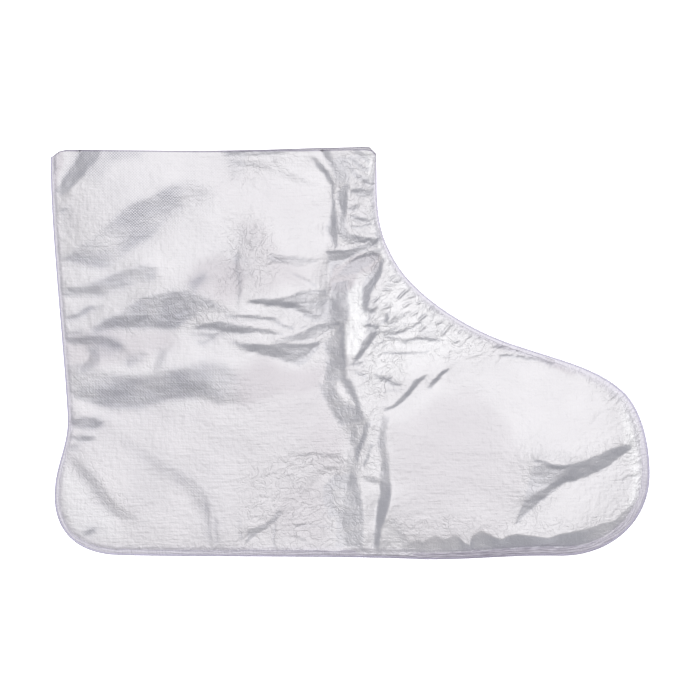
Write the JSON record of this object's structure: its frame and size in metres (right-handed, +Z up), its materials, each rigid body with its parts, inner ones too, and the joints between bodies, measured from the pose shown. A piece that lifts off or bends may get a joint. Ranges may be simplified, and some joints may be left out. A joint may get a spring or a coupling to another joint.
{
  "type": "disposable shoe cover",
  "caption": "Boot-style disposable shoe cover of embossed film, sewn round its edge and open at the ankle end, lying flat on its side.",
  "frame": {"origin": "on the surface the cover lies on, under the middle of its box", "axes": "+X from heel to toe, +Y from sole to mouth, +Z up from the surface it lies on"},
  "size_m": [0.3986, 0.2751, 0.0156],
  "materials": {
    "film": "soft white film, embossed all over with a fine diagonal dot lattice, with a low silky gloss",
    "sewn_edge": "film rolled and gathered several layers thick with white thread, faintly lavender"
  },
  "bodies": {
    "root": {"near_panel": "film", "far_panel": "film", "edge_seam": "sewn_edge"}
  },
  "joints": []
}
